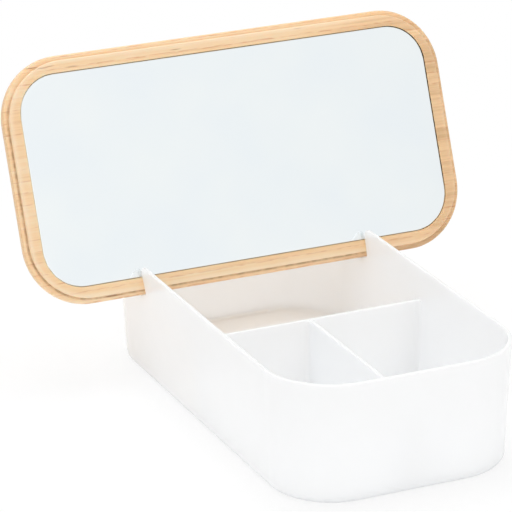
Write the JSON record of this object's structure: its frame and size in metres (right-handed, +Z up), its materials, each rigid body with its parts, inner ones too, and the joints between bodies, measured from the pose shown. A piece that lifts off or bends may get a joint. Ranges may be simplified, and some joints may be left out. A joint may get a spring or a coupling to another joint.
{
  "type": "vanity box with mirror lid",
  "caption": "Moulded vanity tray with compartments, and a bamboo mirror lid standing across it in slots as a dressing mirror.",
  "frame": {"origin": "under the middle of the tray, on the surface that it stands on", "axes": "+X to the right along the standing lid's long side, +Y to the back, towards the end of the tray where the lid stands, +Z up"},
  "size_m": [0.25, 0.25, 0.1682],
  "materials": {
    "tray": "white moulded plastic, slightly glossy",
    "bamboo": "laminated bamboo, clear satin varnish",
    "mirror": "silvered glass, ground edge",
    "tape": "white double-sided foam tape"
  },
  "bodies": {
    "tray": {"storage_tray": "tray"},
    "lid": {"lid_board": "bamboo", "mirror_glass": "mirror", "mirror_tape_1": "tape", "mirror_tape_2": "tape", "mirror_tape_3": "tape", "mirror_tape_4": "tape"}
  },
  "joints": [
    {"name": "lid_lift", "type": "slide", "parent": "tray", "child": "lid", "axis": [0, 0.3698, 0.9291], "range_m": [0, 0.045]}
  ]
}
